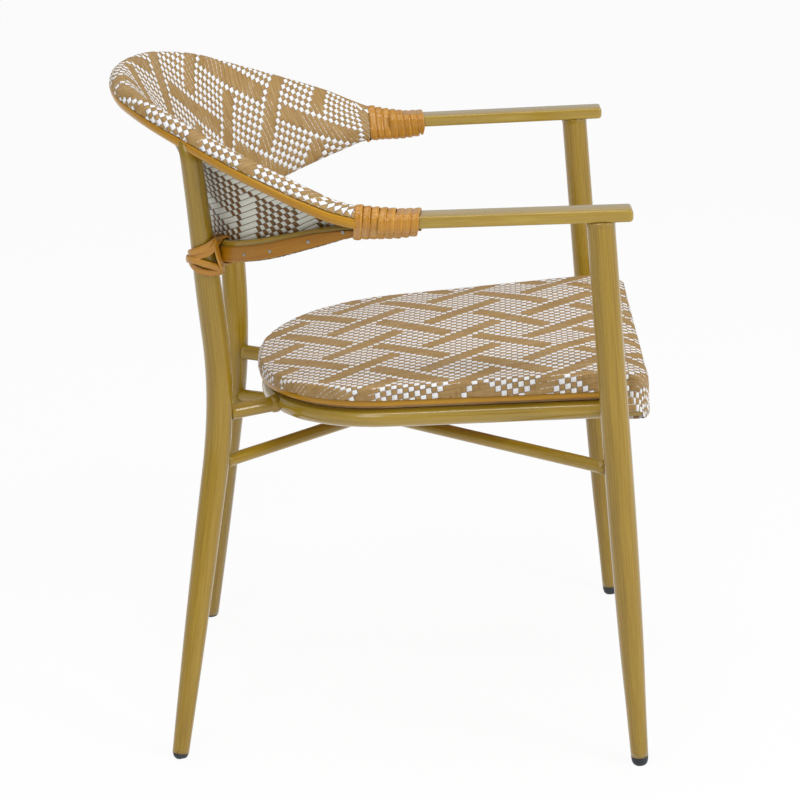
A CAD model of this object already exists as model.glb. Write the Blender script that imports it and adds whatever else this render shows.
"""Looks of the rattan bistro armchair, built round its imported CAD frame.

The chair faces -Y, +X is the sitter's left and Z is up. Shapes are worked out in millimetres,
in the same coordinates as part.mjs has before it centres the chair, and mesh_object() turns
them into metres in the row frame.
"""

import math
from functools import partialmethod

import bmesh
import bpy
import numpy as np
from mathutils import Matrix, Vector
from mathutils.kdtree import KDTree


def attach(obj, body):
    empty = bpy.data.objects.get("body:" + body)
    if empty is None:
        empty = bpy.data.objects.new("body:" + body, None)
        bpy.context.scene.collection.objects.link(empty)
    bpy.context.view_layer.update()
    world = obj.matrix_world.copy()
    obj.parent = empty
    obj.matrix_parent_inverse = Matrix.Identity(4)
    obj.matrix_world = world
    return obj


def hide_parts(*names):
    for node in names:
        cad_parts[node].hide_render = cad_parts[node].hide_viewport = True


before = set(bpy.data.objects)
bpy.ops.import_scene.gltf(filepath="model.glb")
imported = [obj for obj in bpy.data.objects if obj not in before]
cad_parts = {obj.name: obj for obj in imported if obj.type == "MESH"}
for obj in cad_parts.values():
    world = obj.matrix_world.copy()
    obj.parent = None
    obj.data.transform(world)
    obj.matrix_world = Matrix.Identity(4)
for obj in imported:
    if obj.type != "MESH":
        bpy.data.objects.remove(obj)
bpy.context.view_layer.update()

MM = 0.001
SHIFT_Y = -19.199          # how far part.mjs moves the chair to centre it
GAP = 0.3                  # clearance between pieces that touch
UP = np.array([0.0, 0.0, 1.0])
SIDES = {"right": -1, "left": 1}

# ------ small maths helpers


def lerp(a, b, t):
    return a + (b - a) * t


def unit(v):
    return v / np.linalg.norm(v, axis=-1, keepdims=True)


def sided(points, side):
    """Mirrors points for side -1 and keeps them for side 1."""
    return np.asarray(points, float) * [side, 1, 1]


def looked_up(at, keys, rows):
    """Points read from a table between its keys."""
    return np.stack([np.interp(at, keys, column) for column in np.asarray(rows).T], -1)


def lengths_along(points):
    return np.concatenate([[0], np.cumsum(np.linalg.norm(np.diff(points, axis=0), axis=1))])


def respaced(points, steps):
    along = lengths_along(points)
    return looked_up(np.linspace(0, along[-1], steps + 1), along, points)


def smooth_path(points, steps):
    """Evenly spaced points on a centripetal Catmull-Rom curve, as three.js makes it."""
    points = np.asarray(points, float)
    ends = np.vstack([2 * points[0] - points[1], points, 2 * points[-1] - points[-2]])
    fine = []
    for i in range(len(points) - 1):
        p0, p1, p2, p3 = ends[i:i + 4]
        t1, t2, t3 = np.cumsum(np.linalg.norm(np.diff(ends[i:i + 4], axis=0), axis=1) ** 0.5)
        t = np.linspace(t1, t2, 40, endpoint=False)[:, None]
        a1 = lerp(p0, p1, t / t1)
        a2 = lerp(p1, p2, (t - t1) / (t2 - t1))
        a3 = lerp(p2, p3, (t - t2) / (t3 - t2))
        b1 = lerp(a1, a2, t / t2)
        b2 = lerp(a2, a3, (t - t1) / (t3 - t1))
        fine.append(lerp(b1, b2, (t - t1) / (t2 - t1)))
    return respaced(np.vstack(fine + [points[-1:]]), steps)


def bezier(t, *points):
    while len(points) > 1:
        points = [lerp(a, b, t) for a, b in zip(points, points[1:])]
    return points[0]


def tangents(points):
    return unit(np.gradient(points, axis=0))


def whole(half):
    """Mirrors a half path, from the sitter's right to the middle, into a whole one."""
    half = np.asarray(half, float)
    return np.vstack([half, sided(half[-2::-1], -1)])


def tree_of(points):
    tree = KDTree(len(points))
    for i, point in enumerate(points):
        tree.insert(point, i)
    tree.balance()
    return tree


# ------ mesh helpers
# A look is a pair: a material, and the slot that it fills


def new_object(name, data):
    obj = bpy.data.objects.new(name, data)
    bpy.context.scene.collection.objects.link(obj)
    return obj


def join_chair(obj, node):
    """Lets a piece ride on the chair and stand for its CAD node."""
    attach(obj, "root")
    if node:
        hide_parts(node)


def mesh_object(name, points, faces, look, node):
    mesh = bpy.data.meshes.new(name)
    metres = (np.asarray(points, float) + [0, SHIFT_Y, 0]) * MM
    mesh.from_pydata(metres.tolist(), [], faces)
    mesh.materials.append(look[0])
    mesh.shade_smooth()
    mesh.update()
    obj = new_object(name, mesh)
    join_chair(obj, node)
    return obj


def copied_node(name, node):
    """A copy of a CAD node's mesh as a new object, in the colour of the underlay."""
    obj = new_object(name, bpy.data.objects[node].data.copy())
    obj.data.materials.clear()
    obj.data.materials.append(filling)
    return obj


def read_vectors(items, key):
    values = np.empty(len(items) * 3)
    items.foreach_get(key, values)
    return values.reshape(-1, 3)


def vector_attribute(obj, name, values):
    layer = obj.data.attributes.new(name, "FLOAT_VECTOR", "POINT")
    layer.data.foreach_set("vector", np.asarray(values, np.float32).ravel())


def round_sides(centres, radii, sides):
    """Rings round a path, kept from twisting, and the grain coordinates on them."""
    centres = np.asarray(centres, float)
    radii = np.broadcast_to(np.asarray(radii, float), len(centres))
    along = lengths_along(centres)
    tangent = tangents(centres)
    side = np.cross(tangent[0], [0.31, 0.17, 0.93])
    angles = np.arange(sides) / sides * 2 * np.pi
    rings, grain = [], []
    for i, centre in enumerate(centres):
        side = unit(side - tangent[i] * (side @ tangent[i]))
        other = np.cross(tangent[i], side)
        turn = np.stack([np.cos(angles), np.sin(angles)], 1) * radii[i]
        rings.append(centre + turn[:, :1] * side + turn[:, 1:] * other)
        grain.append(np.column_stack([turn, np.full(sides, along[i])]))
    return np.array(rings), np.array(grain)


def skin(name, rings, grain, look, node):
    """Skins rings of equal length and closes the ends; each vertex carries its place in the grain."""
    rows, count = len(rings), len(rings[0])
    index = np.arange(rows * count).reshape(rows, count)
    turned = np.roll(index, -1, axis=1)
    faces = np.stack([index[:-1], turned[:-1], turned[1:], index[1:]], -1).reshape(-1, 4).tolist()
    faces += [index[0, ::-1].tolist(), index[-1].tolist()]
    obj = mesh_object(name, np.reshape(rings, (-1, 3)), faces, look, node)
    vector_attribute(obj, "grain", grain)
    work = bmesh.new()
    work.from_mesh(obj.data)
    bmesh.ops.recalc_face_normals(work, faces=work.faces)
    work.to_mesh(obj.data)
    work.free()
    return obj


def tube(name, centres, radii, look, node):
    return skin(name, *round_sides(centres, radii, 36), look, node)


# ------ materials


def new_node(tree, kind, inputs=None, **settings):
    made = tree.nodes.new(kind)
    for key, value in settings.items():
        setattr(made, key, value)
    for key, value in (inputs or {}).items():
        feed(made.inputs[key], value)
    return made


def feed(socket, value):
    """Links a wire to an input, or sets the input to a constant."""
    if isinstance(value, Wire):
        value.tree.links.new(value.socket, socket)
    else:
        socket.default_value = value


def wire(tree, kind, inputs=None, output=0, **settings):
    """Adds a node and gives the wire of one of its outputs."""
    return Wire(tree, new_node(tree, kind, inputs, **settings).outputs[output])


class Wire:
    """A node's output. Sums, products and comparisons of wires and numbers add Math nodes."""

    def __init__(self, tree, socket):
        self.tree, self.socket = tree, socket

    def maths(self, operation, *others):
        return wire(self.tree, "ShaderNodeMath", dict(enumerate((self, *others))), operation=operation)

    __add__ = partialmethod(maths, "ADD")
    __sub__ = partialmethod(maths, "SUBTRACT")
    __mul__ = partialmethod(maths, "MULTIPLY")
    __truediv__ = partialmethod(maths, "DIVIDE")
    __gt__ = partialmethod(maths, "GREATER_THAN")

    def opposite(self):
        return wire(self.tree, "ShaderNodeMath", {0: 1.0, 1: self}, operation="SUBTRACT")

    def parts(self):
        made = new_node(self.tree, "ShaderNodeSeparateXYZ", {"Vector": self})
        return [Wire(self.tree, output) for output in made.outputs]

    def stretched(self, scale, offset=(0, 0, 0)):
        return wire(self.tree, "ShaderNodeMapping", {"Vector": self, "Scale": scale, "Location": offset})

    def noise(self, scale, detail=3.0, roughness=0.55):
        return wire(self.tree, "ShaderNodeTexNoise", {
            "Vector": self, "Scale": scale, "Detail": detail, "Roughness": roughness}, "Fac")

    def bump(self, strength, distance):
        return wire(self.tree, "ShaderNodeBump", {"Height": self, "Strength": strength, "Distance": distance})

    def ramp(self, *stops):
        made = new_node(self.tree, "ShaderNodeValToRGB", {"Fac": self})
        elements = made.color_ramp.elements
        while len(elements) < len(stops):
            elements.new(0.5)
        for element, (place, colour) in zip(elements, stops):
            element.position, element.color = place, colour
        return Wire(self.tree, made.outputs["Color"])


def mix(share, first, second):
    tree = next(value.tree for value in (share, first, second) if isinstance(value, Wire))
    return wire(tree, "ShaderNodeMix", {0: share, 6: first, 7: second}, 2, data_type="RGBA")


def combined(*parts):
    return wire(parts[0].tree, "ShaderNodeCombineXYZ", dict(enumerate(parts)))


def srgb(red, green, blue):
    """A colour written as on a screen, 0 to 255, in the linear values that shaders use."""
    linear = [((c / 255 + 0.055) / 1.055) ** 2.4 if c > 10 else c / 255 / 12.92 for c in (red, green, blue)]
    return (*linear, 1.0)


def new_material(name):
    material = bpy.data.materials.new(name)
    material.use_nodes = True
    return material


def attribute(material, name, output):
    return wire(material.node_tree, "ShaderNodeAttribute", None, output, attribute_name=name)


def object_place(material):
    return wire(material.node_tree, "ShaderNodeTexCoord", None, "Object")


def finished(material, inputs):
    """Gives the material's shader its wires and constants."""
    for key, value in inputs.items():
        feed(material.node_tree.nodes["Principled BSDF"].inputs[key], value)
    return material


def streaked(name, dark, middle, light, roughness, coat, fine=0.55, bump_strength=0.25):
    """Paint, rattan or plastic with streaks along the piece, laid out by its grain attribute."""
    material = new_material(name)
    grain = attribute(material, "grain", "Vector")
    dark, middle, light = srgb(*dark), srgb(*middle), srgb(*light)
    broad = grain.stretched((0.16, 0.16, 0.006)).noise(1.0)
    streaks = grain.stretched((fine, fine, 0.012), (7, 3, 1)).noise(1.0, 4.0, 0.6)
    colour = (broad * 0.5 + streaks * 0.5).ramp((0.3, dark), (0.5, middle), (0.7, light))
    specks = grain.stretched((0.9, 0.9, 0.1), (2, 9, 4)).noise(1.0, 2.0)
    worn = wire(material.node_tree, "ShaderNodeClamp", {"Value": (specks - 0.64) * 1.2})
    return finished(material, {
        "Base Color": mix(worn, colour, dark), "Roughness": streaks * 0.2 + (roughness - 0.1),
        "Normal": streaks.bump(bump_strength, 0.0003), "Specular IOR Level": 0.35, "Coat Weight": coat,
        "Coat Roughness": 0.12})


def moulded_black():
    material = new_material("black_caps")
    place = object_place(material)
    colour = place.noise(90.0, 2.0).ramp((0.3, srgb(24, 28, 32)), (0.7, srgb(44, 50, 56)))
    return finished(material, {"Base Color": colour, "Normal": place.noise(900.0).bump(0.35, 0.0002),
                               "Roughness": 0.55})


def plywood():
    material = new_material("seat_plywood")
    grain = object_place(material).stretched((90, 6, 90)).noise(1.0, 6.0, 0.65)
    colour = grain.ramp((0.25, srgb(140, 104, 66)), (0.5, srgb(184, 146, 98)), (0.75, srgb(206, 172, 124)))
    return finished(material, {"Base Color": colour, "Normal": grain.bump(0.3, 0.0004), "Roughness": 0.75})


def steel():
    material = new_material("screw_steel")
    scratches = object_place(material).noise(1500.0, 4.0)
    colour = scratches.ramp((0.3, srgb(120, 122, 118)), (0.7, srgb(190, 190, 184)))
    return finished(material, {"Base Color": colour, "Roughness": scratches * 0.3 + 0.2, "Metallic": 0.9})


def underlay():
    """The brown webbing behind the weave, seen under the front fold and between strands."""
    material = new_material("seat_underlay")
    place = object_place(material)
    x, y, _ = place.parts()
    across, down = x * (1000 / 6.0), y * (1000 / 6.5)
    cells = across.maths("FLOOR") + down.maths("FLOOR")
    over = cells.maths("PINGPONG", 1.0) > 0.5
    arch = across.maths("PINGPONG", 0.5) * down.maths("PINGPONG", 0.5)
    streaks = place.stretched((900, 60, 300)).noise(1.0)
    brown = streaks.ramp((0.3, srgb(96, 68, 34)), (0.7, srgb(134, 100, 58)))
    return finished(material, {"Base Color": mix(over, brown, mix(0.35, brown, WHITE)),
                               "Normal": arch.bump(0.8, 0.002), "Roughness": 0.6})


THREAD_FROM, DOTS_FROM, ROWS_FROM = 0.455, 0.12, 0.43
OVAL_WIDTH, OVAL_HEIGHT, WHITE_SHADE = 0.5, 0.74, 0.86


def off_centre(place):
    """How far a place in the weave's cells is from the middle of its cell."""
    return place.maths("FRACT") - 0.5


def woven(name, tans, white, gap, thread_lines, oval=False):
    """The weave: attribute weave holds the place in cells and the relief, and white the strand on top."""
    material = new_material(name)
    tan_dark, tan, tan_light = (srgb(*colour) for colour in tans)
    weave = attribute(material, "weave", "Vector")
    on_top = attribute(material, "white", "Fac")
    across, down, relief = weave.parts()
    # Tan strands run down and white ones across, so each is grooved and streaked along its own length
    tan_cell = across.maths("FLOOR")
    tan_streak = combined(across * 5.0, down * 0.35, tan_cell).noise(1.0, 4.0, 0.65)
    strand = wire(weave.tree, "ShaderNodeTexWhiteNoise", {"W": tan_cell}, noise_dimensions="1D")
    tan_mix = tan_streak * 0.88 + strand * 0.12
    tan_colour = tan_mix.ramp((0.28, tan_dark), (0.5, tan), (0.74, tan_light))
    white_streak = combined(across * 0.4, down * 5.0, down.maths("FLOOR")).noise(1.0, 3.0, 0.6)
    white_colour = mix(white_streak, white, tuple(c * WHITE_SHADE for c in white[:3]) + (1.0,))
    colour = mix(on_top, tan_colour, white_colour)
    # Thin glimpses of the strands below, between tan strands that lie side by side
    line = off_centre(across).maths("ABSOLUTE") > THREAD_FROM
    dots = (down + 0.5).maths("PINGPONG", 0.5) > DOTS_FROM
    thread = line * dots * (weave.noise(0.16, 2.0) > thread_lines) * on_top.opposite()
    if oval:
        # On the reverse the taut brown strands show only as ovals between wide white ones
        x, y = off_centre(across) / OVAL_WIDTH, off_centre(down) / OVAL_HEIGHT
        colour = mix(x * x + y * y > 1.0, colour, white_colour)
        between = (off_centre(down).maths("ABSOLUTE") > ROWS_FROM) * on_top
        colour = mix(between * 0.8, colour, tan_dark)
    # The grooves between strands fall into shade
    depth = wire(weave.tree, "ShaderNodeMapRange", {"Value": relief, "From Min": 0.05, "From Max": 0.7})
    colour = mix(thread * 0.75, mix(depth, srgb(*gap), colour), white)
    grooves = tan_streak * on_top.opposite() + white_streak * on_top
    return finished(material, {"Base Color": colour, "Normal": grooves.bump(0.45, 0.0005),
                               "Roughness": grooves * 0.25 + 0.38})


WHITE = srgb(244, 244, 245)
paint = (streaked("bamboo_paint", (134, 103, 18), (152, 121, 27), (166, 135, 40), 0.28, 0.5),
         "bamboo_paint")
arm_paint = (streaked("bamboo_paint_arms", (142, 112, 22), (160, 130, 34), (174, 146, 50), 0.24, 0.9),
             "bamboo_paint")
caramel = (streaked("caramel_strip", (164, 112, 6), (182, 130, 12), (196, 146, 22), 0.3, 0.15, 0.9),
           "caramel_strip")
low_caramel = (streaked("caramel_strip_low", (142, 88, 2), (158, 104, 4), (170, 118, 10), 0.3, 0.12, 0.9),
               "caramel_strip")
cord = (streaked("lashing_cord", (160, 101, 16), (185, 129, 34), (206, 154, 62), 0.34, 0.5, 0.7, 0.3),
        "lashing_cord")
filling = underlay()
black = moulded_black(), "black_caps"
ply = plywood(), "seat_plywood"
screw_steel = steel(), None
woven_front = woven("woven_front", ((142, 108, 58), (163, 129, 74), (182, 150, 94)), WHITE, (82, 58, 28), 0.5)
woven_reverse = woven("woven_reverse", ((84, 54, 14), (110, 74, 24), (132, 94, 36)), srgb(222, 222, 210),
                      (74, 48, 18), 2.0, oval=True)

# ------ the back's curves

RIM_RADIUS = 10.5
RIM_HALF_WIDTH, RIM_FRONT_REACH, RIM_DEPTH = 264.0, -1.0, 311.5
RIM_FRONT_HEIGHT, RIM_RISE = 654.2, 117.3
RIM_WIDTH_SHARES = [0.968, 0.981, 1, 0.992, 0.947, 0.89, 0.769, 0.667, 0.53, 0.379, 0]
RIM_DEPTH_SHARES = [0, 0.106, 0.196, 0.286, 0.388, 0.494, 0.661, 0.783, 0.876, 0.944, 1]
RIM_RISE_SHARES = [0, 0.045, 0.126, 0.237, 0.356, 0.474, 0.668, 0.812, 0.902, 0.962, 1]
RAIL_HALF_WIDTH, RAIL_FRONT_REACH, RAIL_DEPTH = 255.5, -28.0, 264.5
RAIL_FRONT_HEIGHT, RAIL_DROP = 640.3, 57.0
RAIL_HEIGHT, RAIL_THICKNESS, RAIL_BEVEL = 24.0, 11.0, 2.5
RAIL_WIDTH_SHARES = [1, 0.994, 0.98, 0.933, 0.853, 0.769, 0.695, 0.568, 0.391, 0]
RAIL_DEPTH_SHARES = [0, 0.106, 0.25, 0.408, 0.597, 0.711, 0.788, 0.873, 0.945, 1]
RAIL_DROP_SHARES = [0, 0.058, 0.077, 0.298, 0.591, 0.746, 0.835, 0.912, 0.965, 1]
RAIL_HEIGHT_SHARES = [0.3, 0.27, 0.53, 0.83, 1, 1, 1, 1, 1, 1]
PANEL_THICKNESS, PANEL_FRONT_REACH = 1.9, 35.0
PANEL_LEAVE_DEGREES, PANEL_BOW_SHARE = 16, 0.35
TRIM_THICKNESS, TRIM_MIDDLE_DEGREES, TRIM_HALF_DEGREES = 2.7, -34, 38
LOWER_TRIM_HEIGHT, LOWER_TRIM_RISE = 17.5, 0.6
PATH_STEPS = 400


class BackPath:
    """A tube's path through the back, with its level out direction and its rise at every place."""

    def __init__(self, half_width, front_reach, depth, front_height, rise, widths, depths, rises):
        half = np.column_stack([-half_width * np.array(widths), front_reach + depth * np.array(depths),
                                front_height + rise * np.array(rises)])
        self.centres = smooth_path(whole(half), PATH_STEPS)
        tangent = tangents(self.centres)
        self.out = unit(np.stack([-tangent[:, 1], tangent[:, 0], 0 * tangent[:, 0]], 1))
        self.rise = unit(np.cross(tangent, self.out))
        self.length = lengths_along(self.centres)[-1]

    def at(self, share):
        place = np.asarray(share) * PATH_STEPS
        low = np.clip(np.floor(place).astype(int), 0, PATH_STEPS - 1)
        part = (place - low)[..., None]
        return [lerp(values[low], values[low + 1], part) for values in (self.centres, self.out, self.rise)]

    def share_at_reach(self, reach):
        half = len(self.centres) // 2
        return np.interp(reach, self.centres[:half, 1], np.arange(half) / PATH_STEPS)


rims = BackPath(RIM_HALF_WIDTH, RIM_FRONT_REACH, RIM_DEPTH, RIM_FRONT_HEIGHT, RIM_RISE,
                RIM_WIDTH_SHARES, RIM_DEPTH_SHARES, RIM_RISE_SHARES)
rails = BackPath(RAIL_HALF_WIDTH, RAIL_FRONT_REACH, RAIL_DEPTH, RAIL_FRONT_HEIGHT, -RAIL_DROP,
                 RAIL_WIDTH_SHARES, RAIL_DEPTH_SHARES, RAIL_DROP_SHARES)
PANEL_START = rims.share_at_reach(PANEL_FRONT_REACH)
RAIL_START = rails.share_at_reach(PANEL_FRONT_REACH)


def rim_point(centre, out, rise, radius, degrees):
    angle = np.radians(degrees)
    return centre + out * math.cos(angle) * radius + rise * math.sin(angle) * radius


def rail_height(reach):
    share = np.clip((reach - RAIL_FRONT_REACH) / RAIL_DEPTH, 0, 1)
    return RAIL_HEIGHT * np.interp(share, RAIL_DEPTH_SHARES, RAIL_HEIGHT_SHARES)


# ------ the woven back

STATIONS = 240
DOWN_STEPS = 120
OVER_STEPS, SADDLE_STEPS = 40, 50
LATEST_LEAVE_DEGREES, ARRIVE_SHARE = 170, 0.6


def panel_profile(station):
    """The sheet's middle surface at one station: over the tube, down in a saddle, under the rail."""
    lift = PANEL_THICKNESS / 2
    radius = RIM_RADIUS + GAP + lift
    centre, out, rise = rims.at(lerp(PANEL_START, 1 - PANEL_START, station))
    low, low_out, _ = rails.at(lerp(RAIL_START, 1 - RAIL_START, station))
    inside = low - low_out * (RAIL_THICKNESS + GAP + lift)
    landing = inside + UP * rail_height(low[1])
    chord = landing - rim_point(centre, out, rise, radius, 180)
    chord_degrees = 180 - math.degrees(math.atan2(-chord @ out, -chord @ rise))
    leave = min(LATEST_LEAVE_DEGREES, chord_degrees - PANEL_LEAVE_DEGREES)
    start = TRIM_MIDDLE_DEGREES + TRIM_HALF_DEGREES + math.degrees(GAP * 2 / RIM_RADIUS)
    over = [rim_point(centre, out, rise, radius, degrees) for degrees in np.linspace(start, leave, OVER_STEPS)]
    leaving = -out * math.sin(math.radians(leave)) + rise * math.cos(math.radians(leave))
    bow = np.linalg.norm(landing - over[-1]) * PANEL_BOW_SHARE
    arriving = unit(lerp(unit(landing - over[-1]), -UP, ARRIVE_SHARE))
    saddle = bezier(np.linspace(0, 1, SADDLE_STEPS)[1:, None], over[-1], over[-1] + leaving * bow,
                    landing - arriving * bow, landing)
    under = low - low_out * (RAIL_THICKNESS - RAIL_BEVEL) - UP * (GAP + lift)
    path = respaced(np.vstack([over, saddle, inside + UP * RAIL_BEVEL, under]), DOWN_STEPS)
    return path, lengths_along(path)[-1], math.radians(90 - start) * radius


profiles = [panel_profile(i / STATIONS) for i in range(STATIONS + 1)]
panel_table = np.array([path for path, _, _ in profiles])
panel_lengths = np.array([length for _, length, _ in profiles])
top_length = profiles[0][2]
rim_arc = (np.linspace(PANEL_START, 1 - PANEL_START, STATIONS + 1) - 0.5) * rims.length
rail_arc = (np.linspace(RAIL_START, 1 - RAIL_START, STATIONS + 1) - 0.5) * rails.length

# The weave's cells on the back, as read from the photograph: their pitch, lean and phase
BACK_PITCH_ACROSS, BACK_PITCH_DOWN = 7.1, 6.72
BACK_LEAN, BACK_CLIMB = -1.4, 0.145
BACK_PHASE_ACROSS, BACK_PHASE_DOWN = 204.5, 170.3
BEND_SOFTNESS = 30.0
BACK_CELLS = (-92, 40), (-12, 42)
REVERSE_SHIFT = 4
BACK_RELIEF, SEAT_RELIEF = 0.9, 0.8
SOLVER_ROUNDS, SOLVER_MARGIN = 40, 1.2


def back_place(across, down):
    """Where a place in the weave's cells lies on the back, and whether it is on the sheet."""
    wanted = BACK_PHASE_ACROSS + BACK_LEAN * down + BACK_PITCH_ACROSS * across
    arc = wanted.copy()
    for _ in range(SOLVER_ROUNDS):
        length = np.interp(arc, rim_arc, panel_lengths) - top_length
        below = np.interp(arc, rim_arc, rail_arc)
        climb = BACK_CLIMB * np.sqrt(arc ** 2 + BEND_SOFTNESS ** 2)
        from_rail = BACK_PHASE_DOWN + climb - BACK_PITCH_DOWN * down
        height = np.clip(from_rail / length, 0, SOLVER_MARGIN)
        arc = np.clip(arc + wanted - lerp(below, arc, height), *rim_arc[[0, -1]] * SOLVER_MARGIN)
    share = 1 - from_rail / (length + top_length)
    inside = (arc > rim_arc[0] + 0.01) & (arc < rim_arc[-1] - 0.01) & (share > 0) & (share < 1)
    station = np.interp(arc, rim_arc, np.arange(STATIONS + 1))
    step = np.clip(share, 0, 1) * DOWN_STEPS
    i = np.clip(np.floor(station).astype(int), 0, STATIONS - 1)
    j = np.clip(np.floor(step).astype(int), 0, DOWN_STEPS - 1)
    a, b = (station - i)[..., None], (step - j)[..., None]
    return lerp(lerp(panel_table[i, j], panel_table[i + 1, j], a),
                lerp(panel_table[i, j + 1], panel_table[i + 1, j + 1], a), b), inside


PERIOD_ACROSS, PERIOD_DOWN = 16, 18
BAR_WIDTH, BAR_LENGTH, BAR_OVERHANG = 6, 28, 10


def white_on_top(across, down):
    """The parquet pattern: a chequer of white cells, with tan bars along both diagonals."""
    white = (across + down) % 2 == 0
    for shift_across in range(-3, 4):
        for shift_down in range(-3, 4):
            h = across % PERIOD_ACROSS + shift_across * PERIOD_ACROSS
            w = down % PERIOD_DOWN + shift_down * PERIOD_DOWN
            fall, climb = w - h, w + h
            white &= ~((fall > 0) & (fall < BAR_WIDTH) & (climb > 0) & (climb < BAR_LENGTH))
            white &= ~((climb > BAR_LENGTH) & (climb < BAR_LENGTH + BAR_WIDTH)
                       & (fall > -BAR_OVERHANG) & (fall < BAR_LENGTH - BAR_OVERHANG))
    return white


CELL_STOPS = [0.0, 0.1, 0.9]
HIGH, MIDDLE, LOW = 0.95, 0.55, 0.12


def cell_lines(low, high):
    return np.append((np.arange(low, high)[:, None] + CELL_STOPS).ravel(), high) - 0.5


def weave_surface(name, place, across_range, down_range, look, node, relief_height, reverse=False):
    """Real interlaced relief: nine faces a cell, high on the strand on top and low between strands."""
    across, down = np.meshgrid(cell_lines(*across_range), cell_lines(*down_range), indexing="ij")
    base, inside = place(across, down)
    white = white_on_top(*np.meshgrid(np.arange(across_range[0] - 1, across_range[1] + 1),
                                      np.arange(down_range[0] - 1, down_range[1] + 1), indexing="ij"))
    if reverse:
        white = ~white
    rows, columns = across.shape
    i, j = np.meshgrid(np.arange(rows), np.arange(columns), indexing="ij")
    ci, cj = i // 3 + 1, j // 3 + 1
    here, left, above = white[ci, cj], white[ci - 1, cj], white[ci, cj - 1]
    on_h, on_w = i % 3 == 0, j % 3 == 0
    beside = np.where(here & left, HIGH, np.where(here | left, LOW, MIDDLE))
    below = np.where(~here & ~above, HIGH, np.where(~here | ~above, LOW, 0.5))
    corner = np.where(here | left | above | white[ci - 1, cj - 1], 0.0, MIDDLE)
    relief = np.where(on_h & on_w, corner, np.where(on_h, beside, np.where(on_w, below, 1.0)))
    normal = np.cross(np.gradient(base, axis=1), np.gradient(base, axis=0))
    normal = normal / np.maximum(np.linalg.norm(normal, axis=2, keepdims=True), 1e-9)
    points = base + normal * (relief_height * relief)[..., None]
    index = np.arange(rows * columns).reshape(rows, columns)
    corners = np.stack([index[:-1, :-1], index[:-1, 1:], index[1:, 1:], index[1:, :-1]], -1)
    kept = inside[:-1, :-1] | inside[:-1, 1:] | inside[1:, 1:] | inside[1:, :-1]
    used, faces = np.unique(corners[kept], return_inverse=True)
    obj = mesh_object(name, points.reshape(-1, 3)[used], faces.reshape(-1, 4).tolist(), look, node)
    vector_attribute(obj, "weave", np.stack([across + 0.5, down + 0.5, relief], -1).reshape(-1, 3)[used])
    layer = obj.data.attributes.new("white", "FLOAT", "FACE")
    layer.data.foreach_set("value", here[:-1, :-1][kept].astype(np.float32))


weave_surface("back_weave_inside", back_place, *BACK_CELLS, (woven_front, "woven_back"),
              "back_woven_panel", BACK_RELIEF)
weave_surface("back_weave_outside", lambda across, down: back_place(across + REVERSE_SHIFT, down),
              *BACK_CELLS, (woven_reverse, "woven_back"), None, -BACK_RELIEF, reverse=True)

# ------ legs, caps and arms

CAP_HEIGHT = 11.0
CAP_RISES = np.array([-1.5, 0.3, 1.4, 3.2, 5.4, 7.2, 9.6, 10.4, 10.9, CAP_HEIGHT, CAP_HEIGHT])
CAP_SHARES = np.array([0.55, 0.74, 0.83, 0.91, 0.965, 0.985, 1.005, 1.01, 0.995, 0.96, 0.5])
FRONT_FOOT, FRONT_TOP = (251.7, -268.6), (263.8, -226.1)
FRONT_LEG_RADIUS, FRONT_WELD_HEIGHT, FRONT_WELD_FLARE = 15.7, 6.0, 1.9
FRONT_HEIGHT_SHARES = [0, 0.031, 0.115, 0.246, 0.461, 0.72, 1]
FRONT_RADIUS_SHARES = [0.63, 0.656, 0.739, 0.892, 1, 0.99, 0.975]
REAR_FOOT, REAR_BEND, REAR_TOP = (209.0, 268.9, 0), (113.0, 202.8, 410.0), (198.0, 215.7, 732.0)
REAR_BEND_LENGTH, REAR_TOP_DEPTH, REAR_LEG_RADIUS = 85.0, 15.0, 15.3
REAR_HEIGHT_SHARES = [0, 0.087, 0.23, 0.45, 0.57, 0.74, 0.8, 0.85, 0.918, 1]
REAR_RADIUS_SHARES = [0.634, 0.739, 0.882, 0.993, 1, 0.993, 0.94, 0.863, 0.81, 0.785]
ARM_WIDTH, ARM_THICKNESS, ARM_BEVEL = 31.0, 13.5, 2.4
ARM_FRONT_HALF_SPAN, ARM_FRONT_REACH, ARM_FRONT_TOP = 263.5, 260.5, 665.0
ARM_REAR_HALF_SPAN, ARM_REAR_REACH, ARM_REAR_TOP = 255.8, 3.0, 661.7
ARM_END = [(0.0, 5.0), (0.35, 3.2), (1.0, 1.7), (2.0, 0.7), (3.4, 0.15), (5.0, 0.0)]
LEG_SIDES, CAP_SIDES = 48, 40
GROWTH_STEP, GROWTH_STEPS = 0.25, 160
END_MARGIN, STRIP_MARGIN_DEGREES = 4, 4


def smooth_table(keys, values, at):
    """Looks values up in a table on a smooth curve through its entries."""
    curve = smooth_path(np.column_stack([keys, values, np.zeros(len(keys))]), 300)
    return np.interp(at, curve[:, 0], curve[:, 1])


def arm_share(y):
    return (y + ARM_FRONT_REACH) / (ARM_FRONT_REACH + ARM_REAR_REACH)


def arm_underside(y):
    return lerp(ARM_FRONT_TOP, ARM_REAR_TOP, arm_share(y)) - ARM_THICKNESS


LEG_TOP = arm_underside(FRONT_TOP[1])


def front_leg_axis(side, height):
    foot, top = sided([(*FRONT_FOOT, 0), (*FRONT_TOP, LEG_TOP)], side)
    return lerp(foot, top, np.asarray(height)[..., None] / LEG_TOP)


def rear_leg_axis(side):
    foot, bend, top = sided([REAR_FOOT, REAR_BEND, REAR_TOP], side)
    first = bend + unit(foot - bend) * REAR_BEND_LENGTH
    last = bend + unit(top - bend) * REAR_BEND_LENGTH
    curve = bezier(np.linspace(0, 1, 40)[:, None], first, bend, last)
    return np.vstack([np.linspace(foot, first, 60)[:-1], curve, np.linspace(last, top, 60)[1:]])


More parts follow.
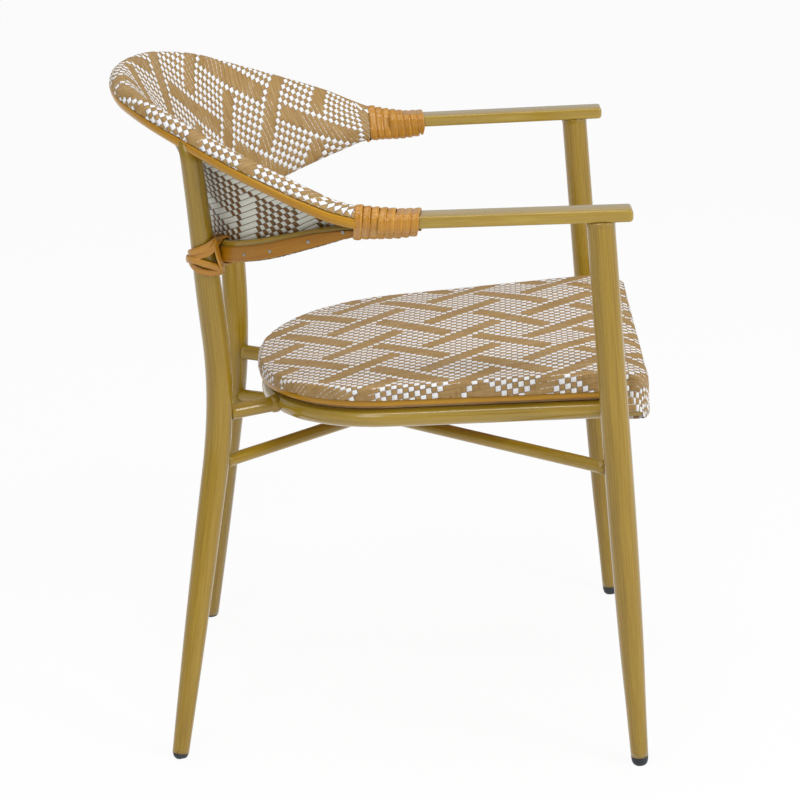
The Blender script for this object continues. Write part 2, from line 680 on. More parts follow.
def at_height(axis, height):
    return looked_up(height, axis[:, 2], axis)


def front_leg(side):
    lean = unit(front_leg_axis(side, LEG_TOP) - front_leg_axis(side, 0))
    foot, top = (CAP_HEIGHT + GAP) * lean[2], LEG_TOP - GAP
    heights = np.concatenate([np.linspace(foot, top - FRONT_WELD_HEIGHT, 90),
                              np.linspace(top - FRONT_WELD_HEIGHT, top, 8)[1:]])
    radii = FRONT_LEG_RADIUS * smooth_table(FRONT_HEIGHT_SHARES, FRONT_RADIUS_SHARES, heights / LEG_TOP)
    radii += FRONT_WELD_FLARE * np.clip(1 - (top - heights) / FRONT_WELD_HEIGHT, 0, 1) ** 1.5
    rings, grain = round_sides(front_leg_axis(side, heights), radii, LEG_SIDES)
    rings[-1, :, 2] = arm_underside(rings[-1, :, 1]) - GAP
    rings[:, :, 2] = np.minimum(rings[:, :, 2], arm_underside(rings[:, :, 1]) - GAP)
    return rings, grain


def rear_leg(side):
    """The bent leg, each side of its upper end grown until it meets the upper tube or its strip."""
    axis = rear_leg_axis(side)
    axis[0] += unit(axis[1] - axis[0]) * (CAP_HEIGHT + GAP)
    radii = REAR_LEG_RADIUS * smooth_table(REAR_HEIGHT_SHARES, REAR_RADIUS_SHARES, axis[:, 2] / REAR_TOP[2])
    rings, grain = round_sides(axis, radii, LEG_SIDES)
    nearest = np.argmin(np.linalg.norm(rims.centres - axis[-1], axis=1))
    centre, out, rise = rims.centres[nearest], rims.out[nearest], rims.rise[nearest]
    last = np.nonzero(((rings - centre) @ rise < -REAR_TOP_DEPTH - END_MARGIN).all(axis=1))[0][-1]
    top = rings[last].copy()
    direction = unit(axis[last] - axis[last - 1])
    strip_from = TRIM_MIDDLE_DEGREES - TRIM_HALF_DEGREES - STRIP_MARGIN_DEGREES
    for i, point in enumerate(top):
        for _ in range(GROWTH_STEPS):
            low, outwards = (point - centre) @ rise, (point - centre) @ out
            stripped = math.degrees(math.atan2(low, outwards)) > strip_from
            reach = RIM_RADIUS + (TRIM_THICKNESS + GAP * 3 if stripped else GAP)
            if math.hypot(low, outwards) < reach or low > 0:
                break
            point = point + direction * GROWTH_STEP
        top[i] = point
    grain = grain[:last + 1]
    return np.concatenate([rings[:last + 1], [top]]), np.concatenate([grain, grain[-1:] + [0, 0, 12]])


def foot_cap(floor_point, axis, leg_radius):
    """A dome with a flat sole, a shoulder that meets the tube and a fine mould line."""
    direction = unit(axis)
    side = unit(np.cross(direction, [1.0, 0, 0]))
    angles = np.arange(CAP_SIDES) / CAP_SIDES * 2 * np.pi
    ring = np.cos(angles)[:, None] * side + np.sin(angles)[:, None] * np.cross(direction, side)
    centres = floor_point + direction * CAP_RISES[:, None]
    rings = centres[:, None] + ring * (leg_radius * CAP_SHARES)[:, None, None]
    rings[:, :, 2] = np.maximum(rings[:, :, 2], 0.0)
    return rings, np.zeros(rings.shape)


def rounded_box(x_range, y_range, radius):
    """A box's outline in two dimensions, with rounded corners."""
    points = []
    for start, x, y in ((-90, 1, 0), (0, 1, 1), (90, 0, 1), (180, 0, 0)):
        turn = np.radians(np.linspace(start, start + 90, 5))
        points.append(np.column_stack([x_range[x] + (1 - 2 * x + np.cos(turn)) * radius,
                                       y_range[y] + (1 - 2 * y + np.sin(turn)) * radius]))
    return np.vstack(points)


def arm_ring(side, y, shrink):
    """The arm's section with rounded edges, seen along the arm."""
    wide, tall = ARM_WIDTH / 2 - shrink, ARM_THICKNESS / 2 - shrink
    flat = np.roll(rounded_box((-wide, wide), (-tall, tall), max(ARM_BEVEL - shrink * 0.5, 0.6)), -5, axis=0)
    x = side * lerp(ARM_FRONT_HALF_SPAN, ARM_REAR_HALF_SPAN, arm_share(y))
    z = arm_underside(y) + ARM_THICKNESS / 2
    return np.column_stack([x + flat[:, 0], np.full(len(flat), y), z + flat[:, 1]])


def armrest(side):
    stops = [(-ARM_FRONT_REACH + y, shrink) for y, shrink in ARM_END]
    stops += [(y, 0.0) for y in np.linspace(-ARM_FRONT_REACH + 12, ARM_REAR_REACH, 30)]
    rings = np.array([arm_ring(side, y, shrink) for y, shrink in stops])
    return rings, rings[:, :, [0, 2, 1]] - [side * 260, 650, 0]


for word, side in SIDES.items():
    front_axis = front_leg_axis(side, LEG_TOP) - front_leg_axis(side, 0)
    rear_foot = sided(REAR_FOOT, side)
    front_cap = foot_cap(front_leg_axis(side, 0), front_axis, FRONT_LEG_RADIUS * FRONT_RADIUS_SHARES[0])
    rear_cap = foot_cap(rear_foot, sided(REAR_BEND, side) - rear_foot, REAR_LEG_RADIUS * REAR_RADIUS_SHARES[0])
    skin(f"front_leg_{word}_tube", *front_leg(side), paint, f"front_leg_{word}")
    skin(f"rear_leg_{word}_tube", *rear_leg(side), paint, f"rear_leg_{word}")
    skin(f"foot_cap_front_{word}_moulding", *front_cap, black, f"foot_cap_front_{word}")
    skin(f"foot_cap_rear_{word}_moulding", *rear_cap, black, f"foot_cap_rear_{word}")
    skin(f"armrest_{word}_tube", *armrest(side), arm_paint, f"armrest_{word}")

# ------ the back's tubes and strips

SCREW_PLACES = [49.5, 88.0, 131.0, 160.5]
SCREW_RISE, SCREW_RADIUS, SCREW_HEIGHT, SCREW_SIDES = 8.6, 2.1, 0.85, 40
RECESS_HALF_WIDTH, RECESS_REACH, RECESS_DEPTH = 0.28, 0.72, 0.5
TRIM_TURNS, TRIM_FOOT, TRIM_SWELL, GRAIN_PER_DEGREE = np.linspace(-1, 1, 17), 0.35, 1.08, 0.18


def rail_ring(centre, out, outer, inner, low, high, bevel):
    flat = rounded_box((inner, outer), (low, high), min(bevel, (high - low) / 2.1))
    return centre + flat[:, :1] * out + flat[:, 1:] * UP


def rail_like(start, steps, outer, inner, low, high, bevel):
    """A flat bar along the rail, from a share of its length to the same share from its end."""
    rings, grain = [], []
    for share in np.linspace(start, 1 - start, steps):
        centre, out, _ = rails.at(share)
        ring = rail_ring(centre, out, outer, inner, low, high(centre[1]), bevel)
        rings.append(ring)
        grain.append([((p - centre) @ out, (p - centre) @ UP, share * rails.length) for p in ring])
    return np.array(rings), np.array(grain)


def strip_top(y):
    return np.minimum(LOWER_TRIM_HEIGHT, rail_height(y) - RAIL_BEVEL * 2) + LOWER_TRIM_RISE


def upper_strip():
    inner = RIM_RADIUS + GAP
    degrees = TRIM_MIDDLE_DEGREES + TRIM_TURNS * TRIM_HALF_DEGREES
    bulge = TRIM_FOOT + TRIM_THICKNESS * TRIM_SWELL * np.sqrt(np.maximum(1 - TRIM_TURNS ** 2, 0))
    rings, grain = [], []
    for share in np.linspace(PANEL_START, 1 - PANEL_START, 220):
        place = rims.at(share)
        rings.append([rim_point(*place, inner, d) for d in degrees[::4]]
                     + [rim_point(*place, inner + b, d) for d, b in zip(degrees[::-1], bulge)])
        grain.append([(d * GRAIN_PER_DEGREE, 0, share * rims.length) for d in degrees[::4]]
                     + [(d * GRAIN_PER_DEGREE, 1, share * rims.length) for d in degrees[::-1]])
    return np.array(rings), np.array(grain)


tube("back_upper_tube_round", rims.centres, RIM_RADIUS, paint, "back_upper_tube")
rail = rail_like(0, 260, 0.0, -RAIL_THICKNESS, 0.0, rail_height, RAIL_BEVEL)
low_strip = rail_like(RAIL_START, 240, GAP + TRIM_THICKNESS, GAP, LOWER_TRIM_RISE, strip_top, 1.25)
skin("back_lower_rail_tube", *rail, paint, "back_lower_rail")
skin("back_upper_strip", *upper_strip(), caramel, "back_upper_trim")
skin("back_lower_strip", *low_strip, low_caramel, "back_lower_trim")


def screw_head(name, centre, out):
    """A small domed head with a cross recess."""
    side = unit(np.cross(UP, out))
    turns = np.arange(SCREW_SIDES) / SCREW_SIDES * 2 * np.pi
    rings = []
    for r in np.linspace(0.04, 1, 9):
        x, y = np.cos(turns) * r * SCREW_RADIUS, np.sin(turns) * r * SCREW_RADIUS
        recess = (np.minimum(np.abs(x), np.abs(y)) < RECESS_HALF_WIDTH) & (r < RECESS_REACH)
        high = SCREW_HEIGHT * np.sqrt(1 - r ** 2 * 0.96) - RECESS_DEPTH * recess
        rings.append(centre + x[:, None] * side + y[:, None] * UP + high[:, None] * out)
    skin(name, rings, np.zeros((len(rings), SCREW_SIDES, 3)), screw_steel, None)


half_rail = np.linspace(0, 0.5, 2000)
half_reach = rails.at(half_rail)[0][:, 1]
for word, side in SIDES.items():
    for number, reach in enumerate(SCREW_PLACES, 1):
        centre, out, _ = rails.at(np.interp(reach, half_reach, half_rail))
        head = centre + out * (GAP + TRIM_THICKNESS) + UP * SCREW_RISE
        screw_head(f"strip_screw_{word}_{number}", sided(head, -side), sided(out, -side))

# ------ lashings and knots

LASHING_FRONT, LASHING_REAR, LOOPS, LOOP_STEPS, TAIL_STEPS = -33.0, 36.0, 8, 48, 7
LASH_HALF_WIDTH, LASH_HALF_THICKNESS, LASH_TILT = 4.6, 1.5, 5.0
KNOT_HALF_WIDTH, KNOT_HALF_THICKNESS = 3.9, 1.35
STRAND_SIDES, STRAND_BELLY, STRAND_POWERS = 20, 0.3, (0.72, 0.95)
TAPER_START, TAPER_LENGTH = 0.35, 14
TILT_SWAY, TILT_RATE, WIDTH_SWAY, WIDTH_RATE = 0.5, 0.045, 0.03, 0.11
BUNDLE_REACH = LASH_HALF_WIDTH * 1.35
KNOT_BESIDE, KNOT_TOP, KNOT_FOOT, KNOT_END = 0.55, 0.86, 0.12, 0.5
SPREAD_STEPS, SPREAD = 9, 3.2
# The knot's five passes over the leg: degrees round it, height from the rail's middle, and lift
KNOT_UPPER = [(-95, -4, 0), (-60, -2.5, 0), (-13, 0.6, 0), (14, 3.5, 0), (49, 7.1, 0), (79, 10.5, 0),
              (112, 15.5, 0.6)]
KNOT_SECOND = [(-95, -10, 0), (-60, -8, 0), (-13, -4.3, 0), (22, -1.5, 0), (56, 1.2, 0.8), (88, 5.5, 2.4),
               (113, 12.5, 3.2)]
KNOT_UPRIGHT = [(122, -17.5, 5.0), (115, -11, 5.6), (113, -4, 4.4), (112, 4, 3.4), (112, 12, 3.0)]
KNOT_CROSSING = [(121, -18.5, 5.0), (98, -14.5, 2.2), (72, -10.5, 2.9), (50, -7.5, 2.9), (22, -5.2, 2.9),
                 (-14, -6.6, 2.9), (-55, -7.5, 2.0), (-97, -5, 2.9)]
KNOT_LOWER = [(120, -21, 4.0), (98, -22, 0.8), (75, -21.3, 0), (50, -19.4, 0), (25, -16.6, 0), (5, -13.5, 0),
              (-20, -11.2, 0), (-55, -10.5, 0), (-97, -9, 0.5)]


def flat_strand(node, side, centres, normals, half_width, half_thickness, steps, tilt=0.0):
    """A flat cord with rounded edges; tilt lets its edges ride over their neighbours like shingles."""
    centres, normals = sided(centres, -side), sided(normals, -side)
    path = smooth_path(centres, steps)
    keys, along = lengths_along(centres), lengths_along(path)
    normals = looked_up(along / along[-1] * keys[-1], keys, normals)
    tangent = tangents(path)
    turns = np.arange(STRAND_SIDES) / STRAND_SIDES * 2 * np.pi
    x, y = (np.sign(v) * np.abs(v) ** power for v, power in zip((np.cos(turns), np.sin(turns)), STRAND_POWERS))
    y = y * half_thickness
    rings, grain = [], []
    for i, centre in enumerate(path):
        normal = unit(normals[i] - tangent[i] * (normals[i] @ tangent[i]))
        across = np.cross(tangent[i], normal)
        lean = math.radians(tilt * (1 + TILT_SWAY * math.sin(along[i] * TILT_RATE)))
        normal, across = (normal * math.cos(lean) + across * math.sin(lean),
                          across * math.cos(lean) - normal * math.sin(lean))
        taper = min(1.0, TAPER_START + min(along[i], along[-1] - along[i]) / TAPER_LENGTH)
        wide = x * half_width * (1 - WIDTH_SWAY * math.sin(along[i] * WIDTH_RATE)) * taper
        rings.append(centre + np.outer(wide, across) + np.outer(y, normal))
        grain.append(np.column_stack([wide, y, np.full(STRAND_SIDES, along[i])]))
    skin(node + "_cord", rings, grain, cord, node)


def bundle_section(y):
    """Points round the arm, tube and rail that a lashing holds together, near a place along them."""
    points = []
    for near in (y - BUNDLE_REACH, y, y + BUNDLE_REACH):
        if near < ARM_REAR_REACH:
            points.extend(arm_ring(-1, near, 0))
        else:
            place = rims.at(rims.share_at_reach(near))
            points.extend(rim_point(*place, RIM_RADIUS, d) for d in range(0, 360, 10))
        if near > RAIL_FRONT_REACH - BUNDLE_REACH:
            centre, out, _ = rails.at(rails.share_at_reach(near))
            points.extend(rail_ring(centre, out, 0.0, -RAIL_THICKNESS, 0.0, rail_height(centre[1]), RAIL_BEVEL))
    return np.array(points) * [1, 0, 1]


def rounded_off(centres, normals):
    """Takes the sharp turns out of a wrapped cord and lets it belly out between the edges it lies on."""
    keys = lengths_along(centres)
    even = np.linspace(0, keys[-1], int(keys[-1]))
    spread = np.exp(-0.5 * (np.arange(-SPREAD_STEPS, SPREAD_STEPS + 1) / SPREAD) ** 2)
    spread /= spread.sum()
    smoothed = []
    for values in (centres, normals):
        padded = np.pad(looked_up(even, keys, values), ((SPREAD_STEPS, SPREAD_STEPS), (0, 0)), "reflect",
                        reflect_type="odd")
        smoothed.append(np.stack([np.convolve(column, spread, "valid") for column in padded.T], 1))
    normals = unit(smoothed[1])
    return smoothed[0] + normals * STRAND_BELLY, normals


def lashing(word, side):
    centres, normals = [], []
    offset = LASH_HALF_THICKNESS + GAP * 1.5
    pitch = (LASHING_REAR - LASHING_FRONT) / LOOPS
    for loop in range(LOOPS + 1):
        flat, directions = [], []
        for step in range(LOOP_STEPS + 1):
            share = step / LOOP_STEPS
            angle = (share + 0.5 / LOOP_STEPS) * 2 * math.pi - math.pi / 2
            direction = np.array([math.cos(angle), 0, math.sin(angle)])
            section = bundle_section(LASHING_FRONT + (loop + share) * pitch)
            flat.append(section[np.argmax(section @ direction)] + direction * offset)
            directions.append(direction)
        lengths = lengths_along(np.array(flat))
        first = TAIL_STEPS if loop == 0 else 0
        last = 1 if loop == LOOPS else LOOP_STEPS
        for point, direction, length in list(zip(flat, directions, lengths))[first:last]:
            centres.append((point[0], LASHING_FRONT + (loop + length / lengths[-1]) * pitch, point[2]))
            normals.append(direction)
    flat_strand(f"arm_lashing_{word}", side, *rounded_off(np.array(centres), np.array(normals)),
                LASH_HALF_WIDTH, LASH_HALF_THICKNESS, LOOPS * LOOP_STEPS * 2, LASH_TILT * -side)


def knot(word, side):
    """One unbroken strand: two loops lean one way over the leg, one stands upright, two cross them."""
    axis = rear_leg_axis(-1)
    half = len(rails.centres) // 2
    apart = [np.linalg.norm(c - at_height(axis, c[2] + RAIL_HEIGHT / 2)) for c in rails.centres[:half]]
    middle = int(np.argmin(apart))
    spacing = rails.length / PATH_STEPS
    centre, out = rails.centres[middle], rails.out[middle]
    offset = KNOT_HALF_THICKNESS + GAP * 3
    lifted = KNOT_HALF_THICKNESS * 2 + GAP * 3.5
    inner = -RAIL_THICKNESS - GAP - PANEL_THICKNESS
    sideways = np.array([out[1], -out[0], 0])
    height = centre[2] + RAIL_HEIGHT / 2
    leg_share = np.interp(height / REAR_TOP[2], REAR_HEIGHT_SHARES, REAR_RADIUS_SHARES)
    around = REAR_LEG_RADIUS * leg_share + GAP * 3 + offset
    beside = -around * KNOT_BESIDE
    centres, normals = [], []

    def add(point, normal):
        centres.append(point)
        normals.append(unit(normal))

    def over_leg(stops):
        for degrees, rise, lift in stops:
            turn = math.radians(degrees)
            normal = out * math.cos(turn) - sideways * math.sin(turn)
            add(at_height(axis, height + rise) + normal * (around + lift), normal)

    def rail_at(along):
        i = middle + round(along / spacing)
        return rails.centres[i], rails.out[i]

    def on_inside(along, share, lift):
        at, outwards = rail_at(along)
        add(at + outwards * (inner - offset - lift) + UP * RAIL_HEIGHT * share, -outwards)

    def underneath(along):
        at, outwards = rail_at(along)
        add(at - outwards * RAIL_THICKNESS - UP * (GAP + PANEL_THICKNESS + offset), -outwards - UP)
        add(at - UP * (offset + GAP), UP * -2 + outwards)

    def behind(top_along, bottom_along, lift):
        at, outwards = rail_at(top_along)
        add(at - outwards * RAIL_BEVEL / 2 + UP * (RAIL_HEIGHT + offset), UP)
        add(at - outwards * RAIL_THICKNESS + UP * (RAIL_HEIGHT + offset), UP - outwards)
        on_inside(top_along, KNOT_TOP, lift)
        on_inside(bottom_along, KNOT_FOOT, lift)
        underneath(bottom_along)

    on_inside(-beside, KNOT_END, 0)
    on_inside(-beside, KNOT_FOOT, 0)
    underneath(-beside)
    over_leg(KNOT_UPPER)
    behind(beside, -beside, 0)
    over_leg(KNOT_SECOND)
    behind(beside, beside, lifted)
    over_leg(KNOT_UPRIGHT)
    behind(beside * 1.1, beside, lifted * 2)
    over_leg(KNOT_CROSSING)
    behind(-beside, beside, lifted)
    over_leg(KNOT_LOWER)
    underneath(-beside)
    on_inside(-beside, KNOT_FOOT, lifted)
    on_inside(-beside, KNOT_END, lifted)
    flat_strand(f"rear_knot_{word}", side, centres, normals, KNOT_HALF_WIDTH, KNOT_HALF_THICKNESS, 700)


for word, side in SIDES.items():
    lashing(word, side)
    knot(word, side)

# ------ the seat frame

SEAT_PLANE, SEAT_TILT, SEAT_FLARE = 400.5, math.radians(1.9), 0.085
RING_RADIUS, RING_HALF_WIDTH, RING_REAR_REACH, RING_ROUND_START = 11.0, 163.0, 155.0, -5.0
RING_FRONT_INSET, FRONT_RAIL_INSET, SEAT_ROUNDNESS = 8.5, 19.5, 2.15
JOINER_RADIUS, JOINER_FLARE, JOINER_WELD, LEG_BEAD = 9.0, 1.5, 5.0, 1.3
BEAD_RIPPLE, RIPPLE_RATE = 0.12, 2.4
FRONT_STUB_INSET, REAR_JOINER_HALF_SPAN = 44.0, 84.0
BOARD_THICKNESS, BOARD_INSET, BOARD_FRONT_INSET = 9.0, 11.0, 23.0
BOARD_STOPS = [(0.6, 0.0), (0.0, 0.6), (0.0, BOARD_THICKNESS - 0.6), (0.6, BOARD_THICKNESS)]
SEAT_HALF_WIDTH, SEAT_REAR_REACH, SEAT_FRONT_REACH, SEAT_FRONT_BULGE = 175.5, 168.0, 285.5, -1.0
CORNER_RADIUS, WRAP_DEPTH, WRAP_DROP = 20.0, 32.5, 12.0
STRIP_INSET, STRIP_HEIGHT, STRIP_THICKNESS, STRIP_RISE, STRIP_BULGE = 0.7, 8.0, 2.7, 5.9, 1.3
PAD_REAR_HEIGHT, PAD_FRONT_HEIGHT, PAD_CROWN, PAD_FRONT_ROLL, PAD_ROLL_LENGTH = 22.5, 35.5, 7.0, 9.0, 55.0
BRACE_RADIUS, BRACE_REAR_DROP, BRACE_FRONT_DROP, BRACE_DIP = 7.5, 64.0, 37.0, 3.5
BRACE_BEND, BRACE_FLARE, BRACE_WELD = 14, 1.2, 4.5
INTO_LEG = 1.5             # how far a bar's end reaches into the leg's tube
STRIP_REACH = -SEAT_FRONT_REACH + WRAP_DEPTH + GAP
PAD_BASE = RING_RADIUS + GAP + BOARD_THICKNESS + GAP
CENTRE_REACH = -SEAT_FRONT_REACH / 4


def tilted(points):
    """Leans points given over the ring's plane back a little and lifts them to their height."""
    x, y, z = np.moveaxis(np.asarray(points, float), -1, 0)
    return np.stack([x, y * math.cos(SEAT_TILT) + z * math.sin(SEAT_TILT),
                     z * math.cos(SEAT_TILT) - y * math.sin(SEAT_TILT) + SEAT_PLANE], -1)


def flared(points):
    points = np.array(points, float)
    share = np.clip((RING_ROUND_START - points[..., 1]) / (SEAT_FRONT_REACH + RING_ROUND_START), 0, 1)
    points[..., 0] *= 1 + SEAT_FLARE * share
    return points


def on_seat(points):
    return tilted(flared(points))


def round_rear(half_width, rear_reach, steps):
    """The rounded rear of the seat as a superellipse, from the sitter's right to the middle."""
    turn = np.linspace(0, math.pi / 2, steps + 1)
    power = 2 / SEAT_ROUNDNESS
    y = RING_ROUND_START + (rear_reach - RING_ROUND_START) * np.sin(turn) ** power
    return np.column_stack([-half_width * np.abs(np.cos(turn)) ** power, y, np.zeros(steps + 1)])


ring_sides = [(-RING_HALF_WIDTH, lerp(RING_ROUND_START, RING_FRONT_INSET - SEAT_FRONT_REACH, s), 0)
              for s in (1, 0.66, 0.33)]
ring_rear = round_rear(RING_HALF_WIDTH, RING_REAR_REACH, 7)
ring = on_seat(smooth_path(whole(np.vstack([ring_sides, ring_rear])), 220))
ring_tube = tube("seat_ring_tube", ring, RING_RADIUS, arm_paint, "seat_ring")
soft_ends = ring_tube.modifiers.new("soft_edges", "BEVEL")
soft_ends.width, soft_ends.segments = 1.2 * MM, 2
soft_ends.limit_method, soft_ends.angle_limit = "ANGLE", math.radians(35)
rail_end = RING_HALF_WIDTH - RING_RADIUS * 0.8
front_ends = on_seat([(x, FRONT_RAIL_INSET - SEAT_FRONT_REACH, 0) for x in (-rail_end, rail_end)])
tube("seat_front_rail_tube", np.linspace(*front_ends, 12), RING_RADIUS, paint, "seat_front_rail")


def joiner(node, side, ring_end, leg_end, leg_radius):
    """A short tube with a weld bead at the ring, and a smaller one at the leg."""
    ring_end, leg_end = sided(ring_end, -side), sided(leg_end, -side)
    length = np.linalg.norm(leg_end - ring_end)
    at = np.linspace(RING_RADIUS - 2, length - leg_radius + INTO_LEG, 60)
    bead = np.clip((at - RING_RADIUS - 0.5) / JOINER_WELD, 0, 1)
    radii = JOINER_RADIUS + JOINER_FLARE * (1 - bead ** 3)
    radii += LEG_BEAD * np.clip((at - (length - leg_radius - 3.5)) / JOINER_WELD, 0, 1) ** 2
    radii += BEAD_RIPPLE * np.sin(at * RIPPLE_RATE) * (1 - bead)
    tube(node + "_tube", ring_end + unit(leg_end - ring_end) * at[:, None], radii, paint, node)


def brace_bar(node, rear_side, rise):
    rear = at_height(rear_leg_axis(rear_side), SEAT_PLANE - BRACE_REAR_DROP)
    front = front_leg_axis(-rear_side, SEAT_PLANE - BRACE_FRONT_DROP)
    middle = lerp(rear, front, rear[0] / (rear[0] - front[0]))
    middle[2] += rise
    rear = rear + unit(middle - rear) * (REAR_LEG_RADIUS - INTO_LEG)
    front = front + unit(middle - front) * (FRONT_LEG_RADIUS - INTO_LEG)
    bent = [middle + unit(end - middle) * BRACE_BEND for end in (rear, front)]
    curve = bezier(np.linspace(0, 1, 12)[:, None], bent[0], middle, bent[1])
    centres = np.vstack([np.linspace(rear, bent[0], 30)[:-1], curve, np.linspace(bent[1], front, 30)[1:]])
    along = lengths_along(centres)
    flare = BRACE_FLARE * np.clip(1 - np.minimum(along, along[-1] - along) / BRACE_WELD, 0, 1) ** 2
    tube(node + "_tube", centres, BRACE_RADIUS + flare, paint, node)


half_ring = ring[:len(ring) // 2 + 1]
rear_half = half_ring[half_ring[:, 1] > 0]
stub_at = looked_up(FRONT_STUB_INSET - SEAT_FRONT_REACH, half_ring[:, 1], half_ring)
stub_leg = at_height(front_leg_axis(-1, np.linspace(0, LEG_TOP, 400)), stub_at[2])
rear_at = looked_up(-REAR_JOINER_HALF_SPAN, rear_half[:, 0], rear_half)
for word, side in SIDES.items():
    joiner(f"seat_stub_{word}", side, stub_at, stub_leg, FRONT_LEG_RADIUS)
    joiner(f"seat_connector_{word}", side, rear_at, at_height(rear_leg_axis(-1), rear_at[2]), REAR_LEG_RADIUS)
brace_bar("brace_bar_lower", -1, -BRACE_DIP)
brace_bar("brace_bar_upper", 1, BRACE_RADIUS * 2 + GAP - BRACE_DIP)


def seat_outline(inset):
    """The seat's outline, closed, from the middle of the front round by the sitter's right."""
    side, front = SEAT_HALF_WIDTH - inset, SEAT_FRONT_REACH - inset
    corner = max(CORNER_RADIUS - inset / 2, CORNER_RADIUS / 3)
    half = [(-side * s, -front - SEAT_FRONT_BULGE * (1 - s * s), 0) for s in np.linspace(0.02, 0.88, 12)]
    half += [(-side + corner * (1 - math.sin(turn)), -front + corner * (1 - math.cos(turn)), 0)
             for turn in np.linspace(0, math.pi / 2, 9)]
    half += [(-side, lerp(STRIP_REACH, RING_ROUND_START, s), 0) for s in np.linspace(0, 1, 20)[:-1]]
    return whole(np.vstack([half, round_rear(side, SEAT_REAR_REACH - inset, 60)]))


def seat_strip():
    outer = seat_outline(STRIP_INSET)
    kept = outer[:, 1] >= STRIP_REACH - 0.01
    outer, inner = outer[kept], seat_outline(STRIP_INSET + STRIP_THICKNESS)[kept]
    low = RING_RADIUS + GAP + STRIP_RISE
    rings, grain = [], []
    for at, back, along in zip(outer, inner, lengths_along(outer)):
        out = unit(at - back)
        ring = [back + UP * low, back + UP * (low + STRIP_HEIGHT)]
        for degrees in np.linspace(90, -90, 9):
            turn = math.radians(degrees)
            bulge = STRIP_BULGE * ((math.cos(turn) ** 0.7 if abs(degrees) < 90 else 0) - 1)
            ring.append(at + out * bulge + UP * (low + STRIP_HEIGHT / 2 * (1 + math.sin(turn))))
        rings.append(ring)
        grain.append([(p @ out, p[2], along) for p in ring])
    return on_seat(rings), np.array(grain)


def seat_board():
    """The plywood, with slightly rounded edges."""
    edge = seat_outline(BOARD_INSET)
    edge[:, 1] = np.maximum(edge[:, 1], BOARD_FRONT_INSET - SEAT_FRONT_REACH)
    inwards = unit(np.array([0, CENTRE_REACH, 0]) - edge)
    rings = on_seat([edge + inwards * inset + UP * (RING_RADIUS + GAP + rise) for inset, rise in BOARD_STOPS])
    return rings, rings


skin("seat_board_plywood", *seat_board(), ply, "seat_board")
skin("seat_strip", *seat_strip(), caramel, "seat_trim_strip")

# ------ the woven seat

SHOULDER = 4.5
CROWN_INSETS = [0.0, 0.031, 0.072, 0.189, 0.433, 0.694, 0.917, 1.0]
CROWN_SHARES = [0.0, 0.01, 0.04, 0.2, 0.6, 0.88, 0.99, 1.0]
SEAT_STEP_DOWN, SEAT_STEP_ACROSS, SEAT_PHASE = np.array([(0.345, -6.53), (-5.985, 0.125), (39.5, 35.3)])
SEAT_CELLS = (-39, 56), (-34, 70)
SIDE_STRETCH, RIGHT_SIDE_STRETCH = 1.12, 1.75
RIGHT_REACH, RIGHT_TIGHTNESS = -50.0, 0.79
PAD_LEAN, PAD_LOWER, PAD_START = 0.8, 2.6, 5.0
PAD_TUCK, TUCK_SHARE = 1.4, 0.35
SIDE_SWELL, SWELL_POWER = 11.0, 1.4
HEM_ROUNDING, HEM_REACH = 4.0, 9.0
# The filling, in metres: face size, how far it shrinks before it is puffed up and how far at most
# that moves it, how high it is held, how deep it lies under the weave, and how far its top sinks
FILLING_VOXEL, FILLING_SHRINK, PUFF_LIMIT, HELD_HEIGHT, SKIN_DEPTH = 0.005, 0.0012, 0.001, 0.006, 0.0016
FILLING_DROP, DROP_HEIGHT = (PAD_LOWER + 3.6) * MM, 0.02
CLOTH_FRAMES, CLOTH_PRESSURE = 20, 4.0
NEIGHBOURS, NEIGHBOUR_REACH, NEIGHBOUR_SOFTNESS = 6, 12, 1.5

foot_line = flared(seat_outline(0))
foot_line = respaced(np.vstack([foot_line, foot_line[:1]]), 1600)[:-1]
outline = foot_line * [1 + SIDE_SWELL / SEAT_HALF_WIDTH, 1, 1]
outline_normals = unit(np.roll(outline, -1, 0) - np.roll(outline, 1, 0))[:, [1, 0, 2]] * [-1, 1, 0]
if outline_normals[0][1] > 0:
    outline_normals = -outline_normals


def pad_height(x, y):
    share = (SEAT_REAR_REACH - y) / (SEAT_REAR_REACH + SEAT_FRONT_REACH)
    roll = np.maximum(0, (-y - SEAT_FRONT_REACH + PAD_ROLL_LENGTH) / PAD_ROLL_LENGTH)
    lean = PAD_LEAN * np.clip(x / SEAT_HALF_WIDTH, -1.1, 1.1)
    return lerp(PAD_REAR_HEIGHT, PAD_FRONT_HEIGHT, share) - PAD_FRONT_ROLL * roll * roll + lean - PAD_LOWER


